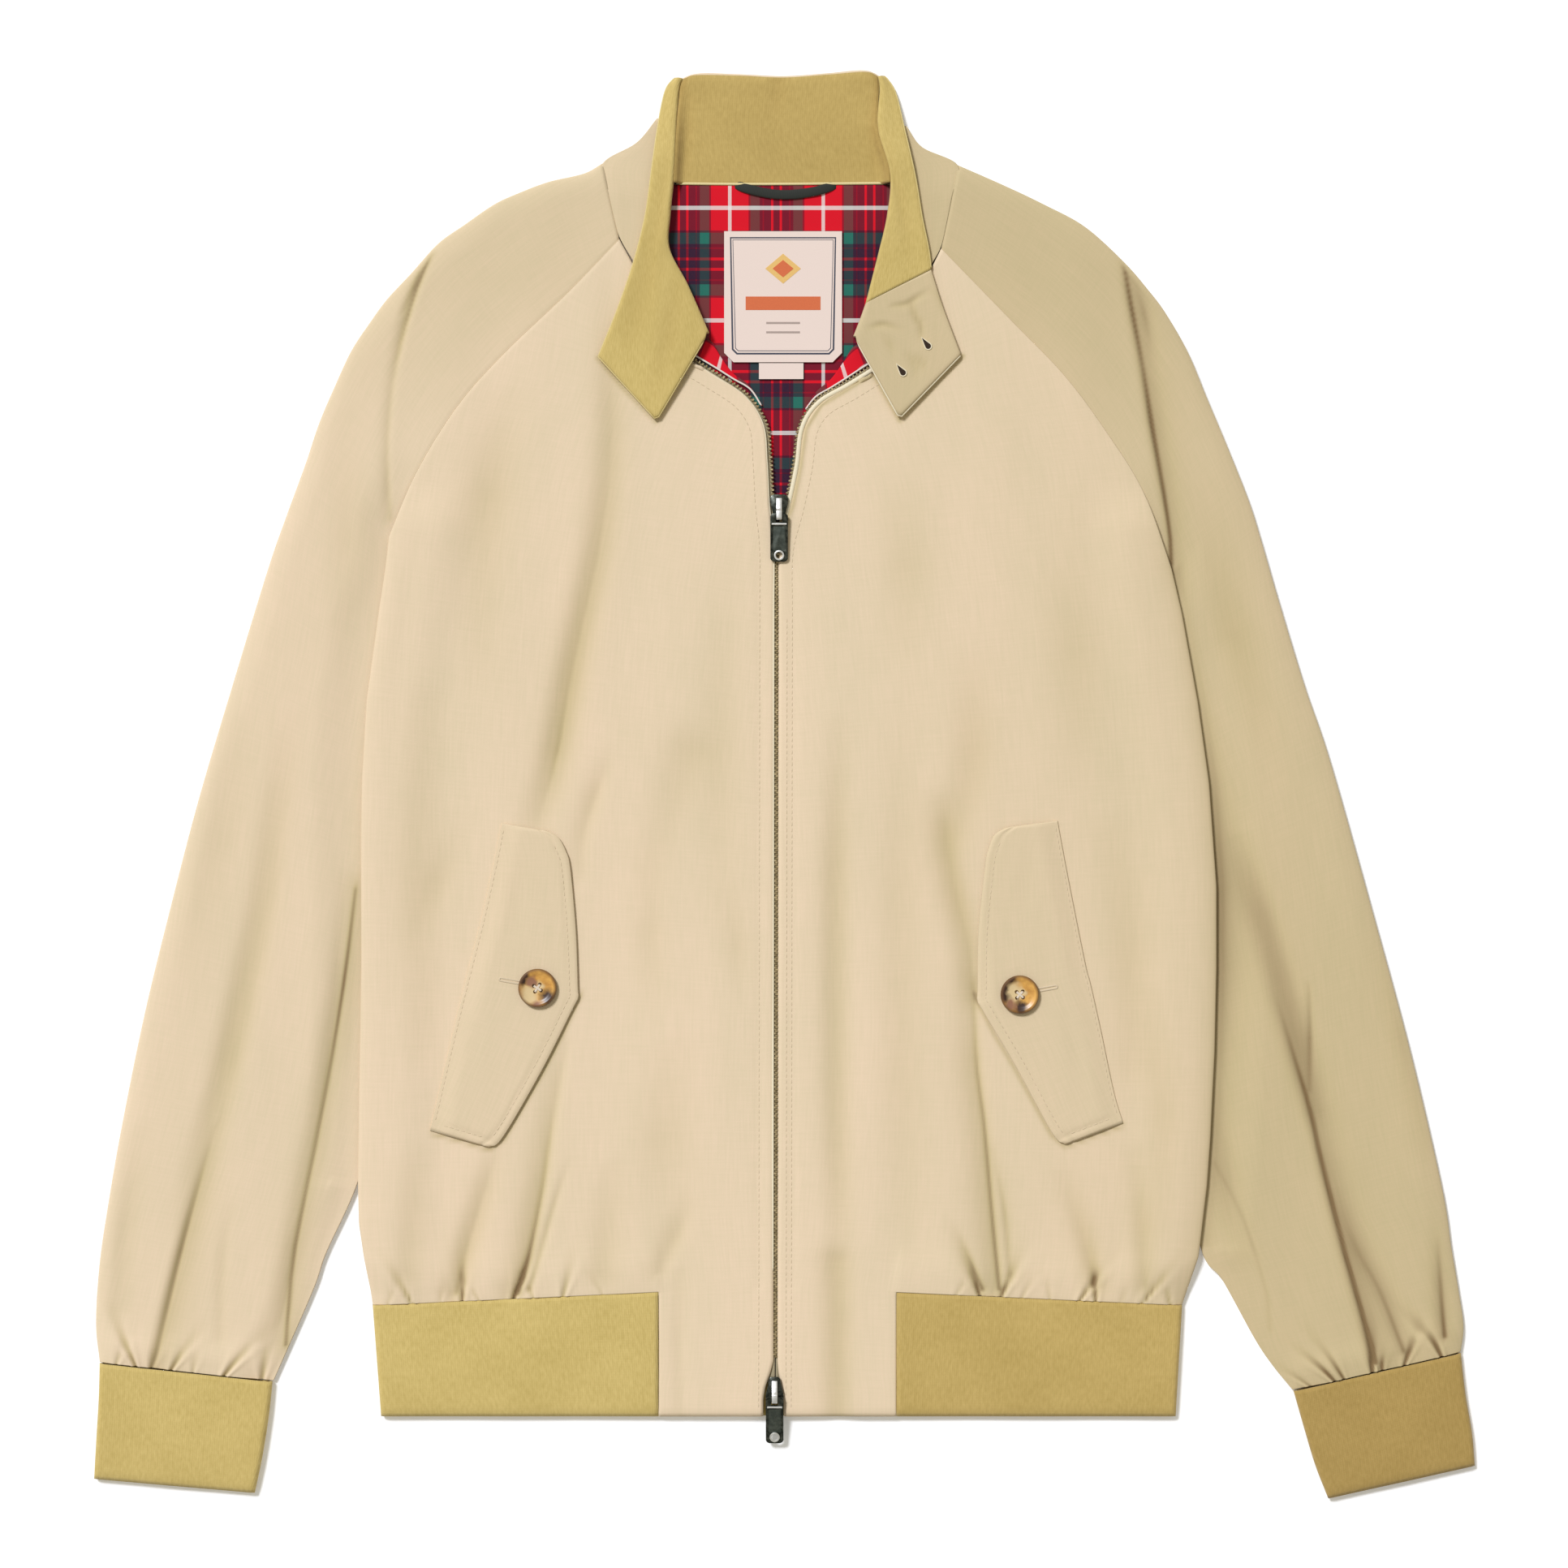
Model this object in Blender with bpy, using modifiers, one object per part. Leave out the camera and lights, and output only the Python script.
"""Harrington jacket lying flat on a table, front up, its collar open.

Sizes are in millimetres until the mesh is made, then metres. X runs towards the wearer's left
sleeve, Y towards the collar and Z up from the table. The origin is under the middle of the garment.
"""
import math
from collections import namedtuple

import bmesh
import bpy
from mathutils import Matrix, Vector
from mathutils.bvhtree import BVHTree

MM = 0.001

# Driving dimensions, in millimetres.
CLOTH = 1.1             # a panel of shell cloth with its lining
RIB = 1.3               # the knitted ribs
LINING = 0.9            # a loose lining panel, a tape or a label
SEAM = 0.3              # each edge stands back this far from its seam line
LAYER = 0.35            # air between one layer and the next
FOLD_EDGE = 2.7         # height of the upper cloth where it meets the under cloth at a fold
FRONT_HEIGHT = 5.6      # height of the front panels away from the folds
SLEEVE_HEIGHT = 5.4
SIDE_LIFT = 3.0         # how far the tucked sleeve lifts the side of the body
FRONT_LIFT = 2.0        # and how far it lifts the front above its usual height
LIFT_GROWS = (-278.0, -253.0)   # the lift begins above the hem rib
LIFT_FADES = (134.0, 162.0)     # and ends above the underarm
BACK_LIFT_REACH = (20.0, 36.0)  # distances in from the side fold over which it dies out
FRONT_LIFT_REACH = (20.0, 46.0)
CREASE_REACH = (4.0, 16.0)      # the creases of the fronts start this far in from the fold
TUCK_MARGIN = 4.0       # the tucked sleeve stays low this far out from under the body
TUCK_REACH = 24.0       # and is at its full height this much farther out
RAGLAN_REACH = (-6.0, 50.0)     # the sleeve rises to the raglan seam over this height
ROLL_WIDTH = 13.0       # how far in from a folded edge the cloth rounds off
HEM_BOTTOM = -338.0
CENTRE_SLOT = 1.0       # half the width of the slot between the two fronts
HEM_FLARE_RIGHT = (-6.5, -3.5)  # how far each front stands aside from the bottom slider,
HEM_FLARE_LEFT = (3.6, 0.4)     # at the hem's edge and one row up

# How finely each piece is divided.
RAGLAN_STEPS = 8
ARM_STEPS = 12
SIDE_STEPS = 11
SIDE_SPREAD = 1.25      # above 1 the rows of the fronts crowd towards the hem
FRONT_HEM_STEPS = 3
CLOSEST_COLUMNS = 2.6
RIB_STEPS = 3
RIB_RUN = 5
RIB_TURN = 5
CUFF_STEPS = 3
CUFF_RUN = 6
LEAF_STEPS = 12
TAB_STEPS = 5
UNDER_STEPS = 8
TAPE_STRAIGHT = 6
TAPE_CURVED = 10
FINE = 24               # steps between two rows of a table while a curve is worked out
LEAF_COLUMNS = (0.0, 0.06, 0.28, 0.5, 0.72, 1.0)
UNDER_COLUMNS = (0.02, 0.25, 0.5, 0.72)
FLAP_COLUMNS = (0.0, 0.08, 0.3, 0.52, 0.74, 0.93, 1.0)

Sleeve = namedtuple("Sleeve", "inner_x inner_y outer_x outer_y")
Side = namedtuple("Side", "y right_x left_x")
Edge = namedtuple("Edge", "x y")
Leaf = namedtuple("Leaf", "free_x free_y roll_x roll_y")
Crease = namedtuple("Crease", "path start end width")
Flap = namedtuple("Flap", "seam_x seam_y free_x free_y")

# Raglan sleeves: the seam on the inner side, then the edge that tucks under the body and comes
# out again above the cuff; the folded edge on the outer side. Rows run from the neck to the cuff.
RAGLAN_RIGHT = (
    Sleeve(-88.0, 291.0, -97.0, 332.0),
    Sleeve(-116.0, 262.0, -142.0, 316.0),
    Sleeve(-151.0, 228.5, -185.0, 290.0),
    Sleeve(-175.0, 201.0, -212.5, 259.0),
    Sleeve(-196.0, 167.0, -235.0, 224.0),
    Sleeve(-211.0, 132.0, -256.0, 171.0),
)
ARM_RIGHT = (
    Sleeve(-211.0, 132.0, -256.0, 171.0),
    Sleeve(-206.0, 60.0, -284.0, 88.0),
    Sleeve(-210.0, 0.0, -311.0, 0.0),
    Sleeve(-210.0, -90.0, -334.0, -90.0),
    Sleeve(-213.0, -160.0, -350.0, -160.0),
    Sleeve(-228.0, -213.0, -361.0, -222.0),
    Sleeve(-250.0, -266.0, -367.5, -272.0),
    Sleeve(-273.0, -319.0, -366.0, -309.0),
)
RAGLAN_LEFT = (
    Sleeve(84.0, 286.0, 93.0, 331.0),
    Sleeve(121.0, 248.0, 139.0, 310.0),
    Sleeve(150.0, 218.0, 182.0, 279.0),
    Sleeve(173.0, 187.0, 206.0, 249.0),
    Sleeve(192.0, 156.0, 229.0, 200.0),
    Sleeve(207.0, 115.0, 249.0, 152.0),
)
ARM_LEFT = (
    Sleeve(207.0, 115.0, 249.0, 152.0),
    Sleeve(205.0, 50.0, 278.0, 54.0),
    Sleeve(213.0, -20.0, 301.0, -20.0),
    Sleeve(216.0, -100.0, 325.0, -105.0),
    Sleeve(213.0, -185.0, 343.5, -180.0),
    Sleeve(225.0, -248.0, 357.0, -248.0),
    Sleeve(251.0, -296.0, 363.5, -284.0),
    Sleeve(272.0, -324.0, 362.0, -303.5),
)

# The side edges of the body, from the top of the hem rib to the underarm.
SIDES = (
    Side(-278.5, -220.0, 213.0),
    Side(-252.0, -224.5, 221.5),
    Side(-213.0, -227.6, 226.0),
    Side(-99.0, -225.8, 231.0),
    Side(1.0, -225.5, 227.0),
    Side(44.0, -223.0, 221.0),
    Side(91.5, -216.5, 212.5),
    Side(115.0, -213.0, 207.0),
    Side(132.0, -211.0, 205.0),
)
RIB_TOP_SIDE = -278.5
RIB_TOP_CENTRE = -268.5
RIB_BOTTOM_RIGHT_X = -215.5
RIB_BOTTOM_LEFT_X = 209.5
RIB_FRONT_RIGHT_X = -67.0
RIB_FRONT_LEFT_X = 60.0

# The open front above the zip, from the last closed tooth to the collar, a row for each step of
# the raglan seam.
OPEN_RIGHT = (
    Edge(-5.0, 96.0), Edge(-5.2, 126.0), Edge(-8.0, 150.0), Edge(-9.4, 172.0),
    Edge(-11.5, 192.0), Edge(-21.0, 206.5), Edge(-38.0, 218.0), Edge(-54.0, 227.5),
    Edge(-70.0, 258.0),
)
OPEN_LEFT = (
    Edge(-3.0, 92.0), Edge(-2.6, 124.0), Edge(3.2, 148.0), Edge(7.8, 170.0),
    Edge(10.6, 190.0), Edge(19.0, 203.0), Edge(35.0, 212.5), Edge(51.0, 222.5),
    Edge(68.0, 254.0),
)
ZIP_X_TOP = -4.0
ZIP_X_BOTTOM = -4.6

# Collar leaves, rows from the back of the neck to the point; the last row of each spans the point.
LEAF_RIGHT = (
    Leaf(-65.0, 369.0, -56.0, 371.0),
    Leaf(-67.5, 350.0, -57.5, 350.0),
    Leaf(-70.5, 328.0, -58.5, 326.0),
    Leaf(-74.0, 303.0, -60.5, 305.0),
    Leaf(-80.0, 279.0, -61.0, 286.0),
    Leaf(-88.5, 254.0, -51.0, 266.0),
    Leaf(-99.0, 228.0, -40.0, 241.0),
)
POINT_RIGHT = Edge(-68.0, 194.0)
LEAF_LEFT = (
    Leaf(59.5, 368.0, 51.0, 372.0),
    Leaf(64.0, 351.0, 50.0, 350.0),
    Leaf(70.0, 324.0, 56.5, 325.0),
    Leaf(73.5, 303.0, 55.0, 304.0),
    Leaf(77.0, 286.0, 50.5, 284.0),
    Leaf(78.5, 274.5, 43.5, 256.5),
)
TAB_LEFT = (
    Leaf(78.7, 273.4, 43.0, 255.3),
    Leaf(85.0, 254.0, 40.5, 248.0),
    Leaf(94.5, 229.0, 37.0, 239.0),
)
POINT_LEFT = Edge(61.6, 195.0)
STAND_RIGHT = (
    Leaf(-67.0, 356.0, -61.5, 356.0),
    Leaf(-78.0, 343.0, -62.0, 344.0),
    Leaf(-96.0, 331.5, -64.0, 328.0),
    Leaf(-92.8, 316.0, -66.0, 312.0),
    Leaf(-89.5, 301.0, -69.0, 295.0),
    Leaf(-86.8, 291.0, -73.0, 281.0),
    Leaf(-80.5, 279.5, -74.0, 270.0),
)
STAND_LEFT = (
    Leaf(64.5, 352.0, 57.0, 352.0),
    Leaf(73.0, 340.5, 59.0, 340.0),
    Leaf(92.0, 330.5, 61.0, 326.0),
    Leaf(88.8, 314.0, 64.0, 310.0),
    Leaf(85.6, 298.0, 67.0, 294.0),
    Leaf(82.8, 286.5, 69.0, 282.0),
    Leaf(78.0, 277.0, 70.0, 270.0),
)
LEAF_BACK = 4.8         # height of a leaf where it leaves the back of the collar
LEAF_FREE = 8.7         # height of its free edge over the front
LEAF_CREST = 1.1        # how much higher its roll is
LEAF_ROLL = 2.0         # radius of the roll
WALL_FLOOR = 3.3        # lowest point of the collar's inner wall over the lining
WALL_FLOOR_BACK = 1.8   # the same behind the neck seam
UNDER_CLOTH = 1.0
NECK_SEAM_Y = 321.0
RIB_BACK_RIGHT_BASE = 58.0
RIB_BACK_LEFT_BASE = 55.5

# Pocket flaps, rows from the upper end to the lower end: the seam side, then the free side.
FLAP_RIGHT = (
    Flap(-150.5, -21.0, -126.0, -25.0),
    Flap(-155.0, -43.0, -113.5, -45.0),
    Flap(-161.5, -72.0, -110.5, -78.0),
    Flap(-169.5, -103.0, -109.0, -115.0),
    Flap(-177.0, -134.0, -128.0, -151.0),
    Flap(-184.5, -166.0, -150.0, -187.0),
    Flap(-189.0, -185.0, -158.0, -194.0),
)
FLAP_LEFT = (
    Flap(146.0, -19.5, 119.0, -23.5),
    Flap(150.5, -44.0, 107.5, -44.0),
    Flap(156.0, -72.0, 103.8, -78.0),
    Flap(162.5, -103.0, 103.0, -116.0),
    Flap(169.5, -133.0, 121.0, -147.0),
    Flap(176.0, -164.0, 142.0, -184.0),
    Flap(181.0, -181.0, 150.0, -192.5),
)
BUTTON_RIGHT = Edge(-131.4, -108.8)
BUTTON_LEFT = Edge(125.7, -112.3)
BUTTON_RADIUS = 10.3
BUTTON_THICKNESS = 3.2
BUTTON_HOLE_RADIUS = 1.1
BUTTON_HOLE_SPACING = 2.3
BUTTON_RIM = 1.3
FLAP_CLOTH = 1.6
FLAP_CLEAR = 0.5

# Creases in the cloth: the line each follows, its depth where it starts and ends, its half width.
FRONT_CREASES = (
    Crease(((-91, 209), (-97, 156), (-105, 121), (-114, 76), (-121, 30)), 0.3, 1.3, 14),
    Crease(((-127, -196), (-129, -223), (-142, -269)), 0.8, 1.8, 9),
    Crease(((-162, -212), (-172, -262)), 0.4, 1.3, 9),
    Crease(((-50, 12), (-68, -43)), 0.8, 0.2, 14),
    Crease(((94, 60), (92, 12), (84, -30), (92, -76)), 0.2, 1.3, 11),
    Crease(((98, -130), (106, -190), (118, -269)), 0.8, 1.6, 9),
    Crease(((92, -240), (106, -266)), 0.2, 0.9, 8),
)
HEM_GATHERS_RIGHT = (-198.0, -172.0, -147.0, -136.0, -121.0)
HEM_GATHERS_LEFT = (107.0, 118.0, 129.0, 159.0, 169.0, 193.0)
GATHER_DEPTH = 1.1
GATHER_LENGTH = 14.0
GATHER_HALF = 4.2
SLEEVE_CREASES = (
    Crease(((-189, 281), (-199.5, 256), (-206, 228.5), (-213, 200), (-214, 150)), 1.7, 1.2, 11),
    Crease(((-252, 32), (-268, -16), (-283, -87), (-299, -134), (-311, -194), (-326, -260),
            (-338, -305)), 0.3, 2.0, 11),
    Crease(((-228, -32), (-242, -123), (-259, -218), (-264, -274), (-266, -312)), 0.2, 1.2, 10),
    Crease(((182, 278), (186, 255), (193, 218), (199, 190), (208, 150)), 1.9, 1.6, 11),
    Crease(((236, -36), (270, -137), (290, -214), (305, -266), (316, -308)), 0.4, 2.0, 11),
    Crease(((261.5, 1), (281, -126), (304, -229), (325, -284), (332, -305)), 0.3, 1.5, 10),
    Crease(((239, -220), (255, -269), (268, -300)), 0.3, 0.8, 8),
)
CUFF_GATHERS = (0.27, 0.42, 0.58, 0.73, 0.88)   # places across the end of a sleeve

# Cuffs, rows from the sleeve seam to the open end.
CUFF_RIGHT = (
    Sleeve(-273.5, -319.6, -366.0, -309.7),
    Sleeve(-275.5, -338.0, -366.5, -328.0),
    Sleeve(-279.0, -360.0, -367.8, -350.0),
    Sleeve(-283.0, -379.0, -369.0, -371.5),
)
CUFF_LEFT = (
    Sleeve(272.5, -324.6, 362.0, -304.2),
    Sleeve(278.0, -344.0, 364.5, -326.0),
    Sleeve(284.0, -364.0, 368.0, -347.0),
    Sleeve(291.0, -382.0, 369.5, -364.5),
)
CUFF_HEIGHT = 5.4

# Label, loop and zip hardware.
LABEL = (-32.0, 31.0, 225.5, 295.5)             # left, right, bottom, top
LABEL_CORNER = 5.0
LABEL_TAB = (-13.4, 10.4, 216.5, 225.0)
LOOP_ROUTE = ((-26.0, 318.5), (-14.0, 314.6), (1.0, 313.4), (16.0, 314.8), (28.0, 319.0))
LOOP_WIDTH = 5.0
TRIM_TOP = 3.7          # top of the tapes, front linings, label and loop
TAPE_WIDTH = 9.0
BEAD = 0.4
TAPE_CLOSED_RIGHT = (Edge(-4.8, -320.0), Edge(-4.2, 118.0))
TAPE_CLOSED_LEFT = (Edge(-4.4, -320.0), Edge(-3.8, 118.0))
TAPE_OPEN_RIGHT = (
    Edge(-4.2, 118.0), Edge(-4.6, 140.0), Edge(-5.4, 158.0), Edge(-6.4, 176.0), Edge(-8.6, 193.0),
    Edge(-19.0, 209.0), Edge(-36.5, 221.0), Edge(-54.0, 231.5),
)
TAPE_OPEN_LEFT = (
    Edge(-3.8, 118.0), Edge(-2.4, 136.0), Edge(0.6, 150.0), Edge(4.9, 172.0), Edge(7.8, 191.0),
    Edge(17.0, 205.5), Edge(33.5, 215.5), Edge(51.0, 226.5),
)

# Outlines of the lining that shows inside the neck.
LINING_BACK = (
    (-66.0, 320.6), (64.0, 320.6), (70.0, 262.0), (64.0, 226.0), (44.0, 198.0), (24.0, 174.0),
    (18.0, 134.0), (-22.0, 134.0), (-26.0, 174.0), (-46.0, 198.0), (-66.0, 226.0), (-72.0, 262.0),
)
LINING_FRONT_RIGHT = (
    (-50.0, 238.0), (-39.5, 237.0), (-33.5, 228.0), (-27.0, 219.5), (-18.5, 213.0), (-12.0, 202.0),
    (-18.0, 211.0), (-27.0, 216.5), (-36.0, 222.2), (-52.0, 231.5),
)
LINING_FRONT_LEFT = (
    (47.0, 236.0), (37.5, 234.0), (32.0, 226.0), (25.0, 216.5), (17.0, 209.5), (11.5, 200.0),
    (17.0, 207.0), (25.0, 211.8), (33.0, 216.8), (49.5, 227.2),
)

SLIDER_TOP = Edge(-2.6, 147.8)
SLIDER_BOTTOM = Edge(-5.0, -323.3)
SLIDER_HALF_WIDTH = 5.0
SLIDER_HALF_LENGTH = 6.8
SLIDER_BASE = 6.1
SLIDER_PLATE = 1.2
POST_FOOT = 2.8         # lowest point of the post between the two tapes
POST_HALF_WIDTH = 0.8
POST_RUN = (1.0, 5.0)   # from the slider's middle towards its wide end
BRIDGE_HALF_WIDTH = 1.5
BRIDGE_REACH = 2.7      # from the hinge to the outside of a bridge leg
BRIDGE_LEG = 1.0
BRIDGE_ROOM = 2.5       # height of the hole in the bridge
BRIDGE_TOP = 0.9
BRIDGE_TAIL = 4.0       # how far its top runs down towards the wide end of the slider
HINGE_SETBACK = 2.6     # from the narrow end of the slider back to its hinge
PULL_LENGTH = 25.0
PULL_HALF_WIDTH = 4.7
PULL_THICKNESS = 1.3
PULL_BAR = 1.4
PULL_WINDOW = 3.9       # from the hinge to the far end of the window
PULL_HOLE_RADIUS = 2.1
PULL_TILT_TOP = 4.2     # degrees, nose down
PULL_TILT_BOTTOM = 9.5


def clear_scene():
    for item in list(bpy.data.objects):
        bpy.data.objects.remove(item, do_unlink=True)


def material(name, colour, roughness, metallic=0.0):
    made = bpy.data.materials.new(name)
    made.use_nodes = True
    shader = made.node_tree.nodes["Principled BSDF"]
    shader.inputs["Base Color"].default_value = (*colour, 1.0)
    shader.inputs["Roughness"].default_value = roughness
    shader.inputs["Metallic"].default_value = metallic
    made.diffuse_color = (*colour, 1.0)
    return made


clear_scene()
jacket = bpy.data.collections.new("harrington_jacket")
bpy.context.scene.collection.children.link(jacket)
cutters = bpy.data.collections.new("cutters")
bpy.context.scene.collection.children.link(cutters)

SHELL = material("shell_cloth", (0.76, 0.62, 0.41), 0.85)
RIB_KNIT = material("rib_knit", (0.61, 0.47, 0.15), 0.9)
TARTAN = material("tartan_lining", (0.62, 0.02, 0.04), 0.85)
LABEL_CLOTH = material("label_cloth", (0.85, 0.76, 0.70), 0.7)
LOOP_CLOTH = material("loop_cloth", (0.02, 0.03, 0.02), 0.8)
TAPE_CLOTH = material("zip_tape", (0.24, 0.20, 0.11), 0.8)
HORN = material("horn", (0.45, 0.22, 0.04), 0.3)
METAL = material("dark_metal", (0.16, 0.17, 0.16), 0.35, 1.0)


def smoothstep(start, end, value):
    t = min(1.0, max(0.0, (value - start) / (end - start)))
    return t * t * (3.0 - 2.0 * t)


def through(points, steps):
    """Points evenly spaced along a smooth curve through the given ones."""
    given = [Vector(point) for point in points]
    first = given[0] * 2 - given[1]
    last = given[-1] * 2 - given[-2]
    guide = [first] + given + [last]
    dense = []
    for a, b, c, d in zip(guide, guide[1:], guide[2:], guide[3:]):
        for k in range(FINE):
            t = k / FINE
            dense.append(0.5 * (2 * b + (c - a) * t + (2 * a - 5 * b + 4 * c - d) * t * t
                                + (3 * b - a - 3 * c + d) * t * t * t))
    dense.append(given[-1])
    run = [0.0]
    for a, b in zip(dense, dense[1:]):
        run.append(run[-1] + (b - a).length)
    even = []
    k = 0
    for step in range(steps + 1):
        wanted = run[-1] * step / steps
        while k < len(run) - 2 and run[k + 1] < wanted:
            k += 1
        t = (wanted - run[k]) / (run[k + 1] - run[k])
        even.append(dense[k].lerp(dense[k + 1], t))
    return even


def between(rows, value, column):
    """One column of a table read at a height between its rows."""
    if value <= rows[0].y:
        return getattr(rows[0], column)
    for low, high in zip(rows, rows[1:]):
        if value <= high.y:
            t = (value - low.y) / (high.y - low.y)
            return getattr(low, column) * (1 - t) + getattr(high, column) * t
    return getattr(rows[-1], column)


def side_x(y, left):
    return between(SIDES, y, "left_x" if left else "right_x")


def crease_depth(creases, x, y):
    """Sum of the troughs at a point, each with a low ridge along both its sides."""
    here = Vector((x, y))
    total = 0.0
    for crease in creases:
        path = [Vector(point) for point in crease.path]
        whole = sum((b - a).length for a, b in zip(path, path[1:]))
        nearest, along, before = 1e9, 0.0, 0.0
        for a, b in zip(path, path[1:]):
            span = (b - a).length
            t = min(1.0, max(0.0, (here - a).dot(b - a) / span ** 2))
            away = (here - a.lerp(b, t)).length
            if away < nearest:
                nearest = away
                along = (before + t * span) / whole
            before += span
        depth = crease.start * (1 - along) + crease.end * along
        ratio = (nearest / crease.width) ** 2
        total += depth * (1.0 - 0.7 * ratio) * math.exp(-ratio)
    return total


def lift(y):
    """How much of the side lift there is at this height: none beyond the hidden sleeve."""
    return smoothstep(*LIFT_GROWS, y) * (1.0 - smoothstep(*LIFT_FADES, y))


def rounded(distance, width):
    """0 at a folded edge, rising along a quarter round to 1."""
    t = min(1.0, max(0.0, distance / width))
    return math.sqrt(1.0 - (1.0 - t) ** 2)


def front_height(x, y):
    """Outer surface of the fronts above the table."""
    left = x > 0
    inward = abs(side_x(y, left)) - abs(x)
    raised = lift(y)
    height = FRONT_HEIGHT + FRONT_LIFT * raised * (1.0 - smoothstep(*FRONT_LIFT_REACH, inward))
    edge = FOLD_EDGE + SIDE_LIFT * raised
    top = FRONT_HEIGHT + FRONT_LIFT * raised
    below_arm = 1.0 - smoothstep(*LIFT_FADES, y)
    height -= (top - edge) * (1.0 - rounded(inward, ROLL_WIDTH)) * below_arm
    inside = smoothstep(*CREASE_REACH, inward)
    return height - crease_depth(FRONT_CREASES, x, y) * inside


def back_height(x, y):
    """Under surface of the back panel, which climbs over the tucked sleeves."""
    inward = abs(side_x(y, x > 0)) - abs(x)
    return SIDE_LIFT * lift(y) * (1.0 - smoothstep(*BACK_LIFT_REACH, inward))


def sleeve_height(x, y, across_inner, across_outer, seam):
    """Outer surface of a sleeve front: across_ are distances from its two visible edges."""
    height = FOLD_EDGE + (SLEEVE_HEIGHT - FOLD_EDGE) * rounded(across_outer, ROLL_WIDTH)
    tucked = FOLD_EDGE + (height - FOLD_EDGE) * smoothstep(0.0, TUCK_REACH, across_inner)
    height = tucked + (height - tucked) * seam
    calm = smoothstep(1.0, 12.0, across_outer)
    calm *= max(seam, smoothstep(2.0, 12.0, across_inner))
    return height - crease_depth(SLEEVE_CREASES, x, y) * calm


SURFACES = {}


def sheet_object(name, sheet, wall, finish, outward):
    """Makes an open sheet an object, and gives it its wall with Solidify."""
    SURFACES[name] = BVHTree.FromBMesh(sheet)
    mesh = bpy.data.meshes.new(name)
    sheet.to_mesh(mesh)
    sheet.free()
    mesh.materials.append(finish)
    mesh.shade_smooth()
    made = bpy.data.objects.new(name, mesh)
    jacket.objects.link(made)
    thicken = made.modifiers.new("wall", "SOLIDIFY")
    thicken.thickness = wall * MM
    thicken.offset = outward
    return made


def panel(name, rows, wall, finish, outward=-1, left_out=None, ring=False):
    """A sheet of cloth through rows of points: its wall grows under them, or over them with +1.

    left_out says which faces of the grid are not cloth; a ring joins its last column to its first.
    """
    columns = len(rows[0]) - 1
    steps = len(rows) - 1
    sheet = bmesh.new()
    bmesh.ops.create_grid(sheet, x_segments=columns, y_segments=steps, size=0.5)
    if left_out:
        gone = []
        for face in sheet.faces:
            centre = face.calc_center_median()
            column = int((centre.x + 0.5) * columns)
            row = int((centre.y + 0.5) * steps)
            if left_out(row, column):
                gone.append(face)
        bmesh.ops.delete(sheet, geom=gone, context="FACES")
    for vert in sheet.verts:
        column = round((vert.co.x + 0.5) * columns)
        row = round((vert.co.y + 0.5) * steps)
        vert.co = Vector(rows[row][column]) * MM
    if ring:
        bmesh.ops.remove_doubles(sheet, verts=sheet.verts, dist=0.00001)
    sheet.normal_update()
    highest = max(sheet.faces, key=lambda face: face.calc_center_median().z)
    if highest.normal.z < 0:
        bmesh.ops.reverse_faces(sheet, faces=sheet.faces)
    return sheet_object(name, sheet, wall, finish, outward)


def flat_piece(name, outlines, low, high, finish):
    """A flat piece cut from its outline, with any holes as further outlines."""
    curve = bpy.data.curves.new(name, "CURVE")
    curve.dimensions = "2D"
    curve.fill_mode = "BOTH"
    curve.extrude = (high - low) / 2 * MM
    for outline in outlines:
        spline = curve.splines.new("POLY")
        spline.points.add(len(outline) - 1)
        for point, (x, y) in zip(spline.points, outline):
            point.co = (x * MM, y * MM, 0.0, 1.0)
        spline.use_cyclic_u = True
    curve.materials.append(finish)
    made = bpy.data.objects.new(name, curve)
    made.location.z = (high + low) / 2 * MM
    jacket.objects.link(made)
    return made


def surface_height(name, x, y):
    """Height of a panel's outer points at a place, read from its own facets."""
    hit = SURFACES[name].ray_cast(Vector((x * MM, y * MM, 1.0)), Vector((0.0, 0.0, -1.0)))
    return hit[0].z / MM


def toward(start, end, distance):
    """A point moved from start towards end."""
    return start + (end - start).normalized() * distance


def inner_points(rows, steps):
    return through([(row.inner_x, row.inner_y) for row in rows], steps)


def outer_points(rows, steps):
    return through([(row.outer_x, row.outer_y) for row in rows], steps)


def gather_waves(place, centres, half, above_seam):
    """Depth of the gathers that run up from a seam."""
    fade = math.exp(-(max(0.0, above_seam) / GATHER_LENGTH) ** 2)
    return fade * sum(GATHER_DEPTH * math.exp(-((place - centre) / half) ** 2) for centre in centres)


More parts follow.
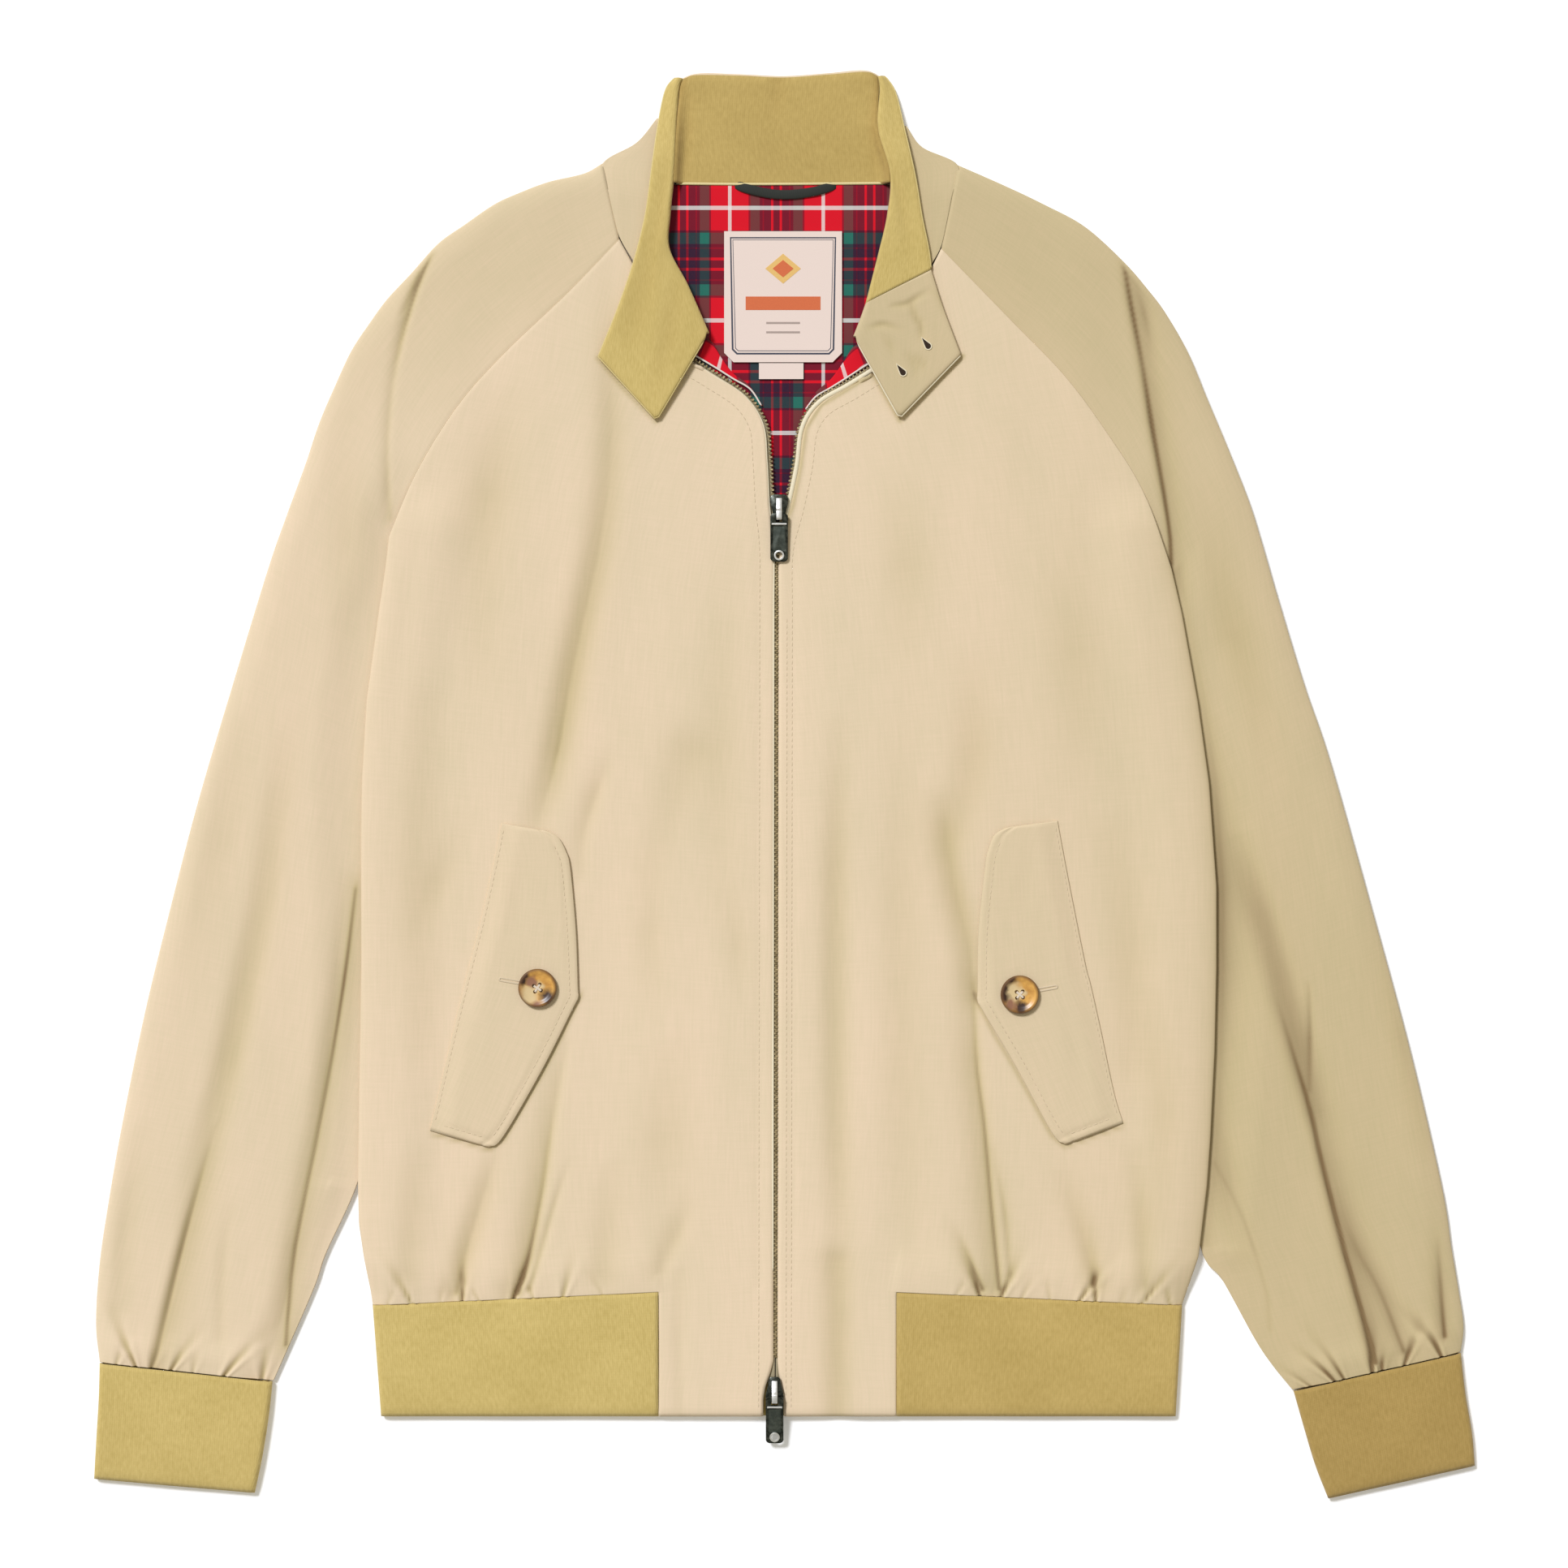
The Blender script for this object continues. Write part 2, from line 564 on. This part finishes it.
def make_sleeve(side, raglan, arm):
    left = side == "left"
    inner = inner_points(raglan, RAGLAN_STEPS) + inner_points(arm, ARM_STEPS)[1:]
    outer = outer_points(raglan, RAGLAN_STEPS) + outer_points(arm, ARM_STEPS)[1:]
    columns = [0.0, 0.04, 0.1, 0.18, 0.95, 1.0]
    for gather in CUFF_GATHERS:
        columns += [gather - 0.05, gather]
    columns.sort()
    comes_out = arm[-3].inner_y
    rows = []
    for index, (seam_point, far) in enumerate(zip(inner, outer)):
        near = toward(seam_point, far, SEAM)
        on_raglan = index <= RAGLAN_STEPS
        seam = smoothstep(*RAGLAN_REACH, near.y - arm[0].inner_y) if on_raglan else 0.0
        row = []
        for place in columns:
            here = near.lerp(far, place)
            across_outer = (far - here).length
            across_inner = (here - near).length
            if not on_raglan and here.y > comes_out:
                across_inner = max(0.0, abs(here.x) - abs(side_x(here.y, left)) - TUCK_MARGIN)
            height = sleeve_height(here.x, here.y, across_inner, across_outer, seam)
            cuff_seam = inner[-1].lerp(outer[-1], place)
            height -= gather_waves(place, CUFF_GATHERS, 0.035, (here - cuff_seam).length)
            row.append((here.x, here.y, height))
        rows.append(row)
    panel(f"sleeve_front_{side}", rows, CLOTH, SHELL)
    outline = [toward(a, b, SEAM) for a, b in zip(inner, outer)] + outer[::-1]
    flat_piece(f"sleeve_back_{side}", [outline], 0.0, CLOTH, SHELL)


def zip_x(y):
    share = (y - HEM_BOTTOM) / (OPEN_RIGHT[0].y - HEM_BOTTOM)
    return ZIP_X_BOTTOM + (ZIP_X_TOP - ZIP_X_BOTTOM) * share


def side_rows(left, underarm_y):
    """Points up the side of the body, closer together near the hem."""
    points = []
    for step in range(SIDE_STEPS + 1):
        y = RIB_TOP_SIDE + (underarm_y - RIB_TOP_SIDE) * (step / SIDE_STEPS) ** SIDE_SPREAD
        points.append(Vector((side_x(y, left), y)))
    return points


def make_front(side, raglan, open_edge, gathers, rib_end, hem_flare):
    left = side == "left"
    slot = CENTRE_SLOT if left else -CENTRE_SLOT
    inwards = -1 if left else 1
    seam = inner_points(raglan, RAGLAN_STEPS)[::-1]
    outer = side_rows(left, seam[0].y) + seam[1:]
    centre = []
    for step in range(SIDE_STEPS + 1):
        share = (step / SIDE_STEPS) ** SIDE_SPREAD
        y = RIB_TOP_CENTRE + (open_edge[0].y - RIB_TOP_CENTRE) * share
        centre.append(Vector((zip_x(y) + slot, y)))
    centre += [Vector(edge) for edge in open_edge[1:]]

    # Columns, by where each meets the hem seam, from the side fold to the zip.
    edge_x, centre_x = outer[0].x, centre[0].x
    at_hem = [edge_x, edge_x + 3 * inwards, edge_x + 8 * inwards]
    for gather in gathers:
        at_hem += [gather - GATHER_HALF, gather, gather + GATHER_HALF]
    at_hem += [92 * -inwards, 79 * -inwards, rib_end, rib_end + 20 * inwards]
    at_hem += [rib_end + 40 * inwards, centre_x - 4 * inwards]
    at_hem.sort(key=lambda x: abs(x - edge_x))
    columns = []
    for x in at_hem:
        if not columns or abs(x - columns[-1]) > CLOSEST_COLUMNS:
            columns.append(x)
    columns.append(centre_x)
    rib_column = columns.index(rib_end)

    rows = []
    for low, high in zip(outer, centre):
        near = toward(low, high, SEAM)
        row = []
        for x_at_hem in columns:
            here = near.lerp(high, (x_at_hem - edge_x) / (centre_x - edge_x))
            above = abs(here.y - rows[0][len(row)][1]) if rows else 0.0
            height = front_height(here.x, here.y)
            height -= gather_waves(x_at_hem, gathers, GATHER_HALF / 2, above)
            row.append((here.x, here.y, height))
        rows.append(row)
    hem_rows = []
    for step in range(FRONT_HEM_STEPS):
        share = step / FRONT_HEM_STEPS
        aside = hem_flare[step] if step < len(hem_flare) else 0.0
        row = []
        for column, seam_point in enumerate(rows[0]):
            x = seam_point[0] + (aside if column >= len(columns) - 2 else 0.0)
            row.append((x, HEM_BOTTOM + (seam_point[1] - HEM_BOTTOM) * share, FRONT_HEIGHT))
        hem_rows.append(row)
    panel(f"front_{side}", hem_rows + rows, CLOTH, SHELL,
          left_out=lambda row, column: row < FRONT_HEM_STEPS and column < rib_column)


def make_back():
    """The back panel, from side seam to side seam and up to the neck seam."""
    edges = []
    for left, raglan in ((False, RAGLAN_RIGHT), (True, RAGLAN_LEFT)):
        seam = inner_points(raglan, RAGLAN_STEPS)[::-1]
        neck, shoulder = Vector(raglan[0][:2]), Vector(raglan[0][2:])
        top = NECK_SEAM_Y - SEAM
        above = [neck.lerp(shoulder, (y - neck.y) / (shoulder.y - neck.y))
                 for y in ((neck.y + top) / 2, top)]
        edges.append(side_rows(left, seam[0].y) + seam[1:] + above)
    inset = [0.0, 0.02, 0.045, 0.07, 0.1, 0.3]
    columns = inset + [0.5] + [1 - place for place in inset[::-1]]
    rows = []
    for right, left in zip(*edges):
        start = toward(right, left, SEAM)
        end = toward(left, right, SEAM)
        row = [start.lerp(end, place) for place in columns]
        rows.append([(here.x, here.y, back_height(here.x, here.y)) for here in row])
    panel("back", rows, CLOTH, SHELL, outward=1)


def make_hem_rib(side, fold_bottom_x, front_end):
    """Half the hem rib: it runs from the front round the side fold to the centre of the back."""
    left = side == "left"
    inwards = -1 if left else 1
    radius = FRONT_HEIGHT / 2
    fold_top_x = side_x(RIB_TOP_SIDE, left)
    centre_x = ZIP_X_BOTTOM - SEAM * inwards / 2
    rows = []
    for step in range(RIB_STEPS + 1):
        share = step / RIB_STEPS
        fold_x = fold_top_x + (fold_bottom_x - fold_top_x) * share
        start_x = front_end - 2 * SEAM * inwards
        turn_x = fold_x + radius * inwards
        path = []
        for k in range(RIB_RUN):
            path.append((start_x + (turn_x - start_x) * k / RIB_RUN, 2 * radius))
        for k in range(RIB_TURN + 1):
            angle = math.pi * k / RIB_TURN
            path.append((turn_x - radius * math.sin(angle) * inwards, radius + radius * math.cos(angle)))
        for k in range(1, RIB_RUN + 1):
            path.append((turn_x + (centre_x - turn_x) * k / RIB_RUN, 0.0))
        row = []
        for x, z in path:
            t = abs(x - fold_x) / abs(edge_gap(left))
            front_seam = RIB_TOP_SIDE + (RIB_TOP_CENTRE - RIB_TOP_SIDE) * t
            seam_y = (front_seam if z > radius else RIB_TOP_SIDE) - 2 * SEAM
            row.append((x, seam_y + (HEM_BOTTOM - seam_y) * share, z))
        rows.append(row)
    panel(f"hem_rib_{side}", rows, RIB, RIB_KNIT)


def edge_gap(left):
    """Width of one front along the hem seam."""
    return side_x(RIB_TOP_SIDE, left) - ZIP_X_BOTTOM


def make_cuff(side, sections):
    radius = CUFF_HEIGHT / 2
    rows = []
    for inner, outer in zip(inner_points(sections, CUFF_STEPS), outer_points(sections, CUFF_STEPS)):
        across = (outer - inner).normalized()
        span = (outer - inner).length - 2 * radius
        ring = []
        for k in range(CUFF_RUN):
            ring.append((radius + span * k / CUFF_RUN, 2 * radius))
        for k in range(RIB_TURN):
            angle = math.pi * k / RIB_TURN
            ring.append((radius + span + radius * math.sin(angle), radius + radius * math.cos(angle)))
        for k in range(CUFF_RUN):
            ring.append((radius + span * (1 - k / CUFF_RUN), 0.0))
        for k in range(RIB_TURN + 1):
            angle = math.pi * k / RIB_TURN
            ring.append((radius - radius * math.sin(angle), radius - radius * math.cos(angle)))
        row = []
        for along, z in ring:
            here = inner + across * along
            row.append((here.x, here.y, z))
        rows.append(row)
    panel(f"cuff_{side}", rows, RIB, RIB_KNIT, ring=True)


def leaf_height(y):
    """Height of a collar leaf's free edge: low at the back of the neck, then over the fronts."""
    return LEAF_BACK + (LEAF_FREE - LEAF_BACK) * (1.0 - smoothstep(328.0, 366.0, y))


def leaf_edges(rows, steps, point=None):
    """Free edge and roll line of a collar leaf, with the lower edge bent through its point."""
    free = through([(row.free_x, row.free_y) for row in rows], steps)
    roll = through([(row.roll_x, row.roll_y) for row in rows], steps)
    lines = []
    for index, (a, b) in enumerate(zip(free, roll)):
        bend = Vector((0.0, 0.0))
        if point:
            share = index / steps
            bend = (Vector(point) - (a + b) / 2) * share ** 3
        lines.append((a, b, bend))
    return lines


def leaf_point(line, place):
    """A point across a leaf: the bend grows to its middle and the two halves stay straight."""
    a, b, bend = line
    return a.lerp(b, place) + bend * (1.0 - abs(2.0 * place - 1.0))


def make_leaf(name, sections, steps, finish, point=None):
    rows = []
    for line in leaf_edges(sections, steps, point):
        row = []
        width = (line[1] - line[0]).length
        for place in LEAF_COLUMNS:
            here = leaf_point(line, place * (1.0 - LEAF_ROLL / width))
            rise = LEAF_CREST * smoothstep(0.1, 0.9, place)
            row.append((here.x, here.y, leaf_height(here.y) + rise))
        crest = row[-1][2]
        roll = line[1]
        shoulder = toward(roll, line[0], LEAF_ROLL * 0.3)
        floor = WALL_FLOOR_BACK + (WALL_FLOOR - WALL_FLOOR_BACK) * (1.0 - smoothstep(322, 332, roll.y))
        row.append((shoulder.x, shoulder.y, crest - 0.25 * LEAF_ROLL))
        row.append((roll.x, roll.y, crest - LEAF_ROLL))
        row.append((roll.x, roll.y, floor))
        rows.append(row)
    panel(name, rows, RIB, finish)


def make_under_leaf(side, sections, point):
    """The shell cloth on the under side of a leaf, where the leaf lies over the front."""
    rows = []
    for line in leaf_edges(sections, UNDER_STEPS, point)[1:]:
        row = []
        for place in UNDER_COLUMNS:
            here = leaf_point(line, place)
            row.append((here.x, here.y, LEAF_FREE - RIB - LAYER))
        rows.append(row)
    panel(f"collar_under_{side}", rows, UNDER_CLOTH, SHELL)


def make_stand(side, sections):
    """The outer cloth of the collar between the neck seam and the leaf."""
    free = [Vector((row.free_x, row.free_y)) for row in sections]
    roll = [Vector((row.roll_x, row.roll_y)) for row in sections]
    rows = []
    for a, b in zip(free, roll):
        row = []
        for place in (0.0, 0.3, 0.65, 1.0):
            here = a.lerp(b, place)
            low = FOLD_EDGE + 0.5 * place
            height = low + (FRONT_HEIGHT - low) * (1.0 - smoothstep(312.0, 346.0, here.y))
            row.append((here.x, here.y, height))
        rows.append(row)
    panel(f"collar_stand_{side}", rows, CLOTH, SHELL)


def make_collar_back():
    top = [(-47.0, 380.5), (-24.0, 380.2), (0.0, 379.2), (24.0, 380.8), (44.0, 382.2)]
    right = [(row.free_x, row.free_y) for row in STAND_RIGHT[2::-1]]
    left = [(row.free_x, row.free_y) for row in STAND_LEFT[:3]]
    base = NECK_SEAM_Y + SEAM
    corner_right = (RAGLAN_RIGHT[0].inner_x - 4.5, base)
    corner_left = (RAGLAN_LEFT[0].inner_x + 4.5, base)
    shell = [corner_right] + right + [(-64.0, 368.0), (-57.0, 377.5)] + top
    shell += [(53.0, 378.5), (59.0, 368.0)] + left + [corner_left]
    flat_piece("collar_back_shell", [shell], 0.0, CLOTH, SHELL)
    rib = [(-RIB_BACK_RIGHT_BASE, base), (-57.0, 330.0), (-56.3, 350.0), (-54.5, 369.0), (-50.0, 377.5)]
    rib += [(x, y - 1.2) for x, y in top] + [(48.0, 376.0), (49.8, 370.0), (48.8, 350.0)]
    rib += [(53.5, 330.0), (RIB_BACK_LEFT_BASE, base)]
    flat_piece("collar_back_rib", [rib], CLOTH + LAYER, CLOTH + LAYER + RIB, RIB_KNIT)


def make_flap(side, sections, button):
    """A pocket flap with its horn button, both set on the front's own points."""
    front = f"front_{side}"
    free = [Vector((row.free_x, row.free_y)) for row in sections]
    seam = [Vector((row.seam_x, row.seam_y)) for row in sections]
    rows = []
    for a, b in zip(seam, free):
        row = []
        for place in FLAP_COLUMNS:
            here = a.lerp(b, place)
            height = surface_height(front, here.x, here.y) + FLAP_CLEAR + FLAP_CLOTH
            row.append((here.x, here.y, height))
        rows.append(row)
    name = f"pocket_flap_{side}"
    panel(name, rows, FLAP_CLOTH, SHELL)
    ring = [surface_height(name, button.x + BUTTON_RADIUS * math.cos(math.tau * k / 12),
                           button.y + BUTTON_RADIUS * math.sin(math.tau * k / 12)) for k in range(12)]
    make_button(f"button_{side}", button, max(ring) + LAYER)


def make_button(name, place, base):
    """A horn button: a turned disc, dished in the middle, with four holes."""
    disc = bmesh.new()
    bmesh.ops.create_cone(disc, cap_ends=True, segments=32, radius1=(BUTTON_RADIUS - 0.7) * MM,
                          radius2=BUTTON_RADIUS * MM, depth=BUTTON_THICKNESS * MM)
    crown = max(disc.faces, key=lambda face: face.calc_center_median().z)
    bmesh.ops.inset_region(disc, faces=[crown], thickness=BUTTON_RIM * MM)
    bmesh.ops.translate(disc, verts=crown.verts, vec=(0, 0, 0.3 * MM))
    bmesh.ops.inset_region(disc, faces=[crown], thickness=BUTTON_RIM * MM)
    bmesh.ops.translate(disc, verts=crown.verts, vec=(0, 0, -1.1 * MM))
    mesh = bpy.data.meshes.new(name)
    disc.to_mesh(mesh)
    disc.free()
    mesh.materials.append(HORN)
    mesh.shade_smooth()
    mesh.set_sharp_from_angle(angle=math.radians(40))
    made = bpy.data.objects.new(name, mesh)
    made.location = Vector((place.x, place.y, base + BUTTON_THICKNESS / 2)) * MM
    jacket.objects.link(made)
    drill = bmesh.new()
    for k in range(4):
        angle = math.radians(45 + 90 * k)
        reach = BUTTON_HOLE_SPACING * MM
        spot = Matrix.Translation((reach * math.cos(angle), reach * math.sin(angle), 0.0))
        bmesh.ops.create_cone(drill, cap_ends=True, segments=10, radius1=BUTTON_HOLE_RADIUS * MM,
                              radius2=BUTTON_HOLE_RADIUS * MM, depth=0.02, matrix=spot)
    cut(made, drill)


def cut(piece, cutter_shape, operation="DIFFERENCE"):
    """Cuts a shape out of a piece, or joins it on, with a hidden cutter."""
    mesh = bpy.data.meshes.new(f"{piece.name}_cutter")
    cutter_shape.to_mesh(mesh)
    cutter_shape.free()
    cutter = bpy.data.objects.new(f"{piece.name}_cutter", mesh)
    cutter.location = piece.location
    cutter.hide_render = True
    cutter.display_type = "WIRE"
    cutters.objects.link(cutter)
    made = piece.modifiers.new(operation.lower(), "BOOLEAN")
    made.operation = operation
    made.solver = "EXACT"
    made.object = cutter


def make_tape(side, closed, opened):
    """Half the zip: a tape with its line of teeth as a low bead, straight and then parted."""
    route = [Vector(closed[0]).lerp(Vector(closed[1]), k / TAPE_STRAIGHT) for k in range(TAPE_STRAIGHT)]
    route += through(opened, TAPE_CURVED)
    outwards = 1 if side == "left" else -1
    rows = []
    for index, here in enumerate(route):
        ahead = route[min(index + 1, len(route) - 1)]
        behind = route[max(index - 1, 0)]
        along = (ahead - behind).normalized()
        across = Vector((along.y, -along.x)) * outwards
        row = []
        for distance, rise in ((0.0, BEAD), (0.6, BEAD), (1.7, 0.0), (TAPE_WIDTH, 0.0)):
            spot = here + across * distance
            row.append((spot.x, spot.y, TRIM_TOP + rise))
        rows.append(row)
    panel(f"zip_tape_{side}", rows, LINING, TAPE_CLOTH)


def make_slider(name, centre, widens):
    """A slider: a shield-shaped plate, a bridge for the pull, and a post between the tapes.

    It widens towards the parted end of the zip: 1 when that is upwards, -1 when downwards.
    """
    wide = SLIDER_HALF_WIDTH
    tall = SLIDER_HALF_LENGTH
    half = [(0.40 * wide, -tall), (0.62 * wide, -0.8 * tall), (0.9 * wide, 0.25 * tall),
            (wide, 0.72 * tall), (0.72 * wide, tall)]
    outline = half + [(-x, y) for x, y in half[::-1]]
    plate = bmesh.new()
    corners = [plate.verts.new((x * MM, y * widens * MM, SLIDER_BASE * MM)) for x, y in outline]
    face = plate.faces.new(corners)
    grown = bmesh.ops.extrude_face_region(plate, geom=[face])
    top = [item for item in grown["geom"] if isinstance(item, bmesh.types.BMVert)]
    bmesh.ops.translate(plate, verts=top, vec=(0, 0, SLIDER_PLATE * MM))
    bmesh.ops.recalc_face_normals(plate, faces=plate.faces)
    mesh = bpy.data.meshes.new(name)
    plate.to_mesh(mesh)
    plate.free()
    mesh.materials.append(METAL)
    made = bpy.data.objects.new(name, mesh)
    made.location = (centre.x * MM, centre.y * MM, 0.0)
    jacket.objects.link(made)
    base = SLIDER_BASE + SLIDER_PLATE
    hinge_y = -tall + HINGE_SETBACK
    arch = bmesh.new()
    overlap = 0.2
    profile = [(-BRIDGE_REACH, -overlap), (-BRIDGE_REACH, BRIDGE_ROOM),
               (-BRIDGE_REACH + 0.6, BRIDGE_ROOM + BRIDGE_TOP), (BRIDGE_REACH, BRIDGE_ROOM + BRIDGE_TOP),
               (BRIDGE_REACH + BRIDGE_TAIL, 0.4), (BRIDGE_REACH + BRIDGE_TAIL, -overlap),
               (BRIDGE_REACH - BRIDGE_LEG, -overlap), (BRIDGE_REACH - BRIDGE_LEG, BRIDGE_ROOM),
               (-BRIDGE_REACH + BRIDGE_LEG, BRIDGE_ROOM), (-BRIDGE_REACH + BRIDGE_LEG, -overlap)]
    corners = [arch.verts.new((-BRIDGE_HALF_WIDTH * MM, (hinge_y + y) * MM, (base + z) * MM))
               for y, z in profile]
    side_face = arch.faces.new(corners)
    grown = bmesh.ops.extrude_face_region(arch, geom=[side_face])
    far = [item for item in grown["geom"] if isinstance(item, bmesh.types.BMVert)]
    bmesh.ops.translate(arch, verts=far, vec=(2 * BRIDGE_HALF_WIDTH * MM, 0, 0))
    post_top = SLIDER_BASE + overlap
    size = Vector((2 * POST_HALF_WIDTH, POST_RUN[1] - POST_RUN[0], post_top - POST_FOOT)) * MM
    middle = Vector((0.0, widens * sum(POST_RUN) / 2, (post_top + POST_FOOT) / 2)) * MM
    bmesh.ops.create_cube(arch, size=1.0, matrix=Matrix.LocRotScale(middle, None, size))
    bmesh.ops.recalc_face_normals(arch, faces=arch.faces)
    cut(made, arch, "UNION")


def make_pull(name, hinge, tilt):
    """A pull tab lying nose down from its hinge bar, with a window for the bridge and a hole."""
    half = PULL_HALF_WIDTH
    bar = PULL_BAR / 2
    neck = half - 0.9
    tip = -PULL_LENGTH
    outline = [(neck, bar), (neck, -3.4), (half, -5.0), (half, tip + 1.6), (half - 1.6, tip)]
    outline += [(-x, y) for x, y in outline[::-1]]
    gap = BRIDGE_HALF_WIDTH + 0.35
    window = [(gap, -bar), (gap, -PULL_WINDOW), (-gap, -PULL_WINDOW), (-gap, -bar)]
    hole = [(PULL_HOLE_RADIUS * math.cos(math.tau * k / 12),
             tip + PULL_HOLE_RADIUS + 1.3 + PULL_HOLE_RADIUS * math.sin(math.tau * k / 12))
            for k in range(12)]
    pull = flat_piece(name, [outline, window, hole], -PULL_THICKNESS / 2, PULL_THICKNESS / 2, METAL)
    pull.location = Vector(hinge) * MM
    pull.rotation_euler.x = math.radians(tilt)


def make_zip_hardware():
    hinge_z = SLIDER_BASE + SLIDER_PLATE + BRIDGE_ROOM / 2
    for name, centre, widens, tilt in (("top", SLIDER_TOP, 1, PULL_TILT_TOP),
                                       ("bottom", SLIDER_BOTTOM, -1, PULL_TILT_BOTTOM)):
        make_slider(f"zip_slider_{name}", centre, widens)
        hinge_y = centre.y - SLIDER_HALF_LENGTH + HINGE_SETBACK
        make_pull(f"zip_pull_{name}", (centre.x, hinge_y, hinge_z), tilt)


def make_neck_pieces():
    """What shows inside the neck: the back lining, the front linings, label, its tab, the loop."""
    low = CLOTH + LAYER
    flat_piece("lining_back", [LINING_BACK], low, low + LINING, TARTAN)
    base = TRIM_TOP - LINING
    flat_piece("lining_front_right", [LINING_FRONT_RIGHT], base, TRIM_TOP, TARTAN)
    flat_piece("lining_front_left", [LINING_FRONT_LEFT], base, TRIM_TOP, TARTAN)
    left, right, bottom, top = LABEL
    c = LABEL_CORNER
    label = [(left, top), (left, bottom + c), (left + c, bottom), (right - c, bottom),
             (right, bottom + c), (right, top)]
    flat_piece("label", [label], base, TRIM_TOP, LABEL_CLOTH)
    left, right, bottom, top = LABEL_TAB
    tab = [(left, top), (left, bottom), (right, bottom), (right, top)]
    flat_piece("label_tab", [tab], base, TRIM_TOP, LABEL_CLOTH)
    route = through(LOOP_ROUTE, 10)
    half = LOOP_WIDTH / 2
    upper, lower = [], []
    for index, here in enumerate(route):
        along = route[min(index + 1, 10)] - route[max(index - 1, 0)]
        across = Vector((-along.y, along.x)).normalized() * half
        upper.append(here + across)
        lower.append(here - across)
    flat_piece("hanger_loop", [upper + lower[::-1]], base, TRIM_TOP, LOOP_CLOTH)


make_back()
make_sleeve("right", RAGLAN_RIGHT, ARM_RIGHT)
make_sleeve("left", RAGLAN_LEFT, ARM_LEFT)
make_front("right", RAGLAN_RIGHT, OPEN_RIGHT, HEM_GATHERS_RIGHT, RIB_FRONT_RIGHT_X, HEM_FLARE_RIGHT)
make_front("left", RAGLAN_LEFT, OPEN_LEFT, HEM_GATHERS_LEFT, RIB_FRONT_LEFT_X, HEM_FLARE_LEFT)
make_cuff("right", CUFF_RIGHT)
make_cuff("left", CUFF_LEFT)
make_hem_rib("right", RIB_BOTTOM_RIGHT_X, RIB_FRONT_RIGHT_X)
make_hem_rib("left", RIB_BOTTOM_LEFT_X, RIB_FRONT_LEFT_X)
make_collar_back()
make_stand("right", STAND_RIGHT)
make_stand("left", STAND_LEFT)
make_leaf("collar_leaf_right", LEAF_RIGHT, LEAF_STEPS, RIB_KNIT, POINT_RIGHT)
make_leaf("collar_leaf_left", LEAF_LEFT, LEAF_STEPS, RIB_KNIT)
make_leaf("collar_tab_left", TAB_LEFT, TAB_STEPS, SHELL, POINT_LEFT)
make_under_leaf("right", LEAF_RIGHT[2:], POINT_RIGHT)
make_under_leaf("left", LEAF_LEFT[2:-1] + TAB_LEFT, POINT_LEFT)
make_flap("right", FLAP_RIGHT, BUTTON_RIGHT)
make_flap("left", FLAP_LEFT, BUTTON_LEFT)
make_tape("right", TAPE_CLOSED_RIGHT, TAPE_OPEN_RIGHT)
make_tape("left", TAPE_CLOSED_LEFT, TAPE_OPEN_LEFT)
make_neck_pieces()
make_zip_hardware()
